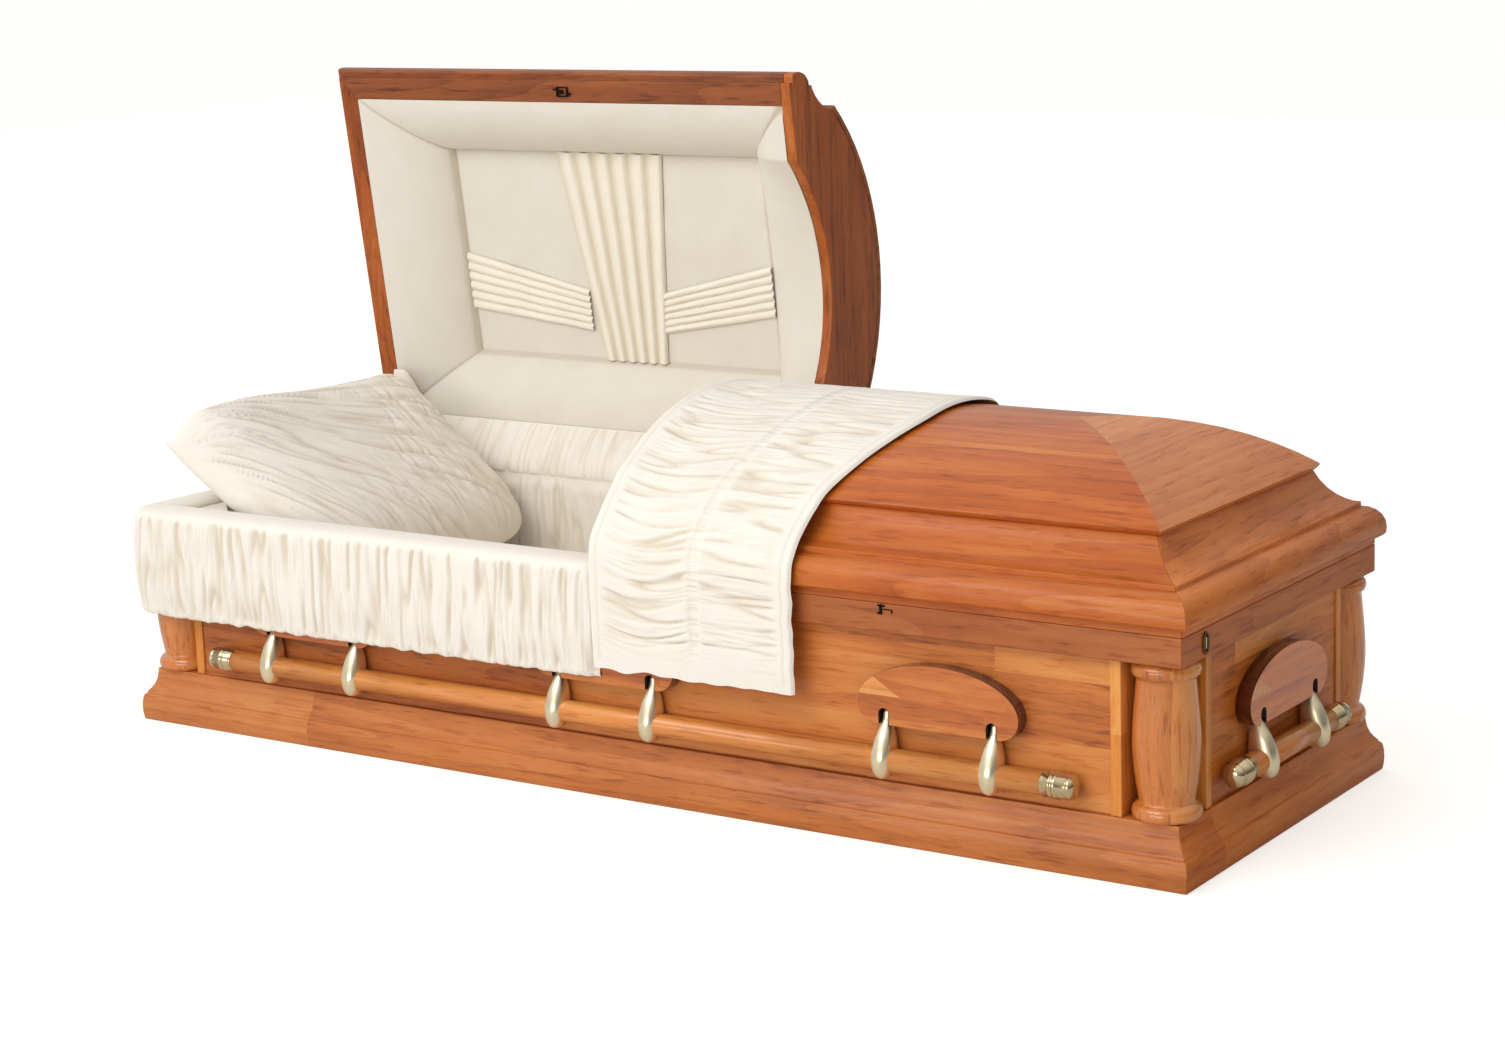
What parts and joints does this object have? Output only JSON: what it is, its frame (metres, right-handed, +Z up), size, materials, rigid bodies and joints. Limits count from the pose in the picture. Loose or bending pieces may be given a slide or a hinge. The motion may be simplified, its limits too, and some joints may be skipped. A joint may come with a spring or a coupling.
{
  "type": "casket",
  "caption": "Half-couch hardwood casket with a hipped domed lid in two halves, turned corner columns, swing-bar handles and a shirred ivory interior, head lid open",
  "frame": {"origin": "centre of the casket's underside, on the floor plane", "axes": "+X runs along the length from the head end to the foot end, -Y is the front long side that the lids open from, +Z is up"},
  "size_m": [2.1524, 0.9368, 1.139],
  "materials": {
    "base_wood": "satin lacquer over stained hardwood",
    "wall_wood": "satin lacquer over stained boards",
    "rail_wood": "satin lacquer over dark stained hardwood",
    "strip_wood": "satin lacquer over light hardwood strips",
    "column_wood": "gloss lacquer over turned and glued boards",
    "ear_wood": "gloss lacquer over dark stained hardwood",
    "lid_wood": "satin lacquer over orange stained hardwood",
    "open_lid_wood": "satin lacquer over red-brown stained hardwood",
    "bar_wood": "satin lacquer over a turned round bar",
    "lining_cloth": "ivory crepe cloth, shirred, pleated or padded",
    "brass": "pale satin brass plate"
  },
  "bodies": {
    "casket": {"bottom_board": "base_wood", "base_moulding_front": "base_wood", "base_moulding_back": "base_wood", "base_moulding_head": "base_wood", "base_moulding_foot": "base_wood", "wall_front": "wall_wood", "wall_back": "wall_wood", "wall_head": "wall_wood", "wall_foot": "wall_wood", "top_rail_front": "rail_wood", "top_rail_back": "rail_wood", "top_rail_head": "rail_wood", "top_rail_foot": "rail_wood", "corner_post_front_head": "strip_wood", "corner_post_front_foot": "strip_wood", "corner_post_back_head": "strip_wood", "corner_post_back_foot": "strip_wood", "column_front_head": "column_wood", "column_front_foot": "column_wood", "column_back_head": "column_wood", "column_back_foot": "column_wood", "ear_front_left": "ear_wood", "ear_front_middle": "ear_wood", "ear_front_right": "ear_wood", "ear_back_left": "ear_wood", "ear_back_middle": "ear_wood", "ear_back_right": "ear_wood", "ear_head": "ear_wood", "ear_foot": "ear_wood", "body_lining": "lining_cloth", "mattress": "lining_cloth", "pillow": "lining_cloth", "apron": "lining_cloth", "head_lid_hinge_inner": "brass", "head_lid_hinge_outer": "brass", "foot_lid_hinge_inner": "brass", "foot_lid_hinge_outer": "brass", "foot_lid_latch": "brass", "lock_plate": "brass"},
    "head_lid": {"head_lid_cap_front": "open_lid_wood", "head_lid_cap_back": "open_lid_wood", "head_lid_cap_end": "open_lid_wood", "head_lid_crown": "open_lid_wood", "head_lid_header": "open_lid_wood", "head_lid_lining": "lining_cloth", "head_lid_latch": "brass"},
    "foot_lid": {"foot_lid_cap_front": "lid_wood", "foot_lid_cap_back": "lid_wood", "foot_lid_cap_end": "lid_wood", "foot_lid_crown": "lid_wood", "foot_lid_header": "lid_wood", "foot_lid_lining": "lining_cloth", "throw": "lining_cloth"},
    "front_bar": {"swing_bar_front": "bar_wood"},
    "back_bar": {"swing_bar_back": "bar_wood"},
    "head_bar": {"swing_bar_head": "bar_wood"},
    "foot_bar": {"swing_bar_foot": "bar_wood"}
  },
  "joints": [
    {"name": "head_lid_hinge", "type": "hinge", "parent": "casket", "child": "head_lid", "pos_m": [0, 0.3739, 0.403], "axis": [1, 0, 0], "range_deg": [0, 80.5], "deforming": ["pillow"]},
    {"name": "foot_lid_hinge", "type": "hinge", "parent": "casket", "child": "foot_lid", "pos_m": [0, 0.3739, 0.403], "axis": [-1, 0, 0], "range_deg": [0, 82.5], "deforming": ["throw"]},
    {"name": "front_bar_swing", "type": "hinge", "parent": "casket", "child": "front_bar", "pos_m": [0, -0.35, 0.209], "axis": [-1, 0, 0], "range_deg": [0, 60], "deforming": ["apron"]},
    {"name": "back_bar_swing", "type": "hinge", "parent": "casket", "child": "back_bar", "pos_m": [0, 0.35, 0.209], "axis": [1, 0, 0], "range_deg": [0, 60]},
    {"name": "head_bar_swing", "type": "hinge", "parent": "casket", "child": "head_bar", "pos_m": [-1.039, 0, 0.209], "axis": [0, 1, 0], "range_deg": [0, 60]},
    {"name": "foot_bar_swing", "type": "hinge", "parent": "casket", "child": "foot_bar", "pos_m": [1.039, 0, 0.209], "axis": [0, -1, 0], "range_deg": [0, 60]}
  ]
}
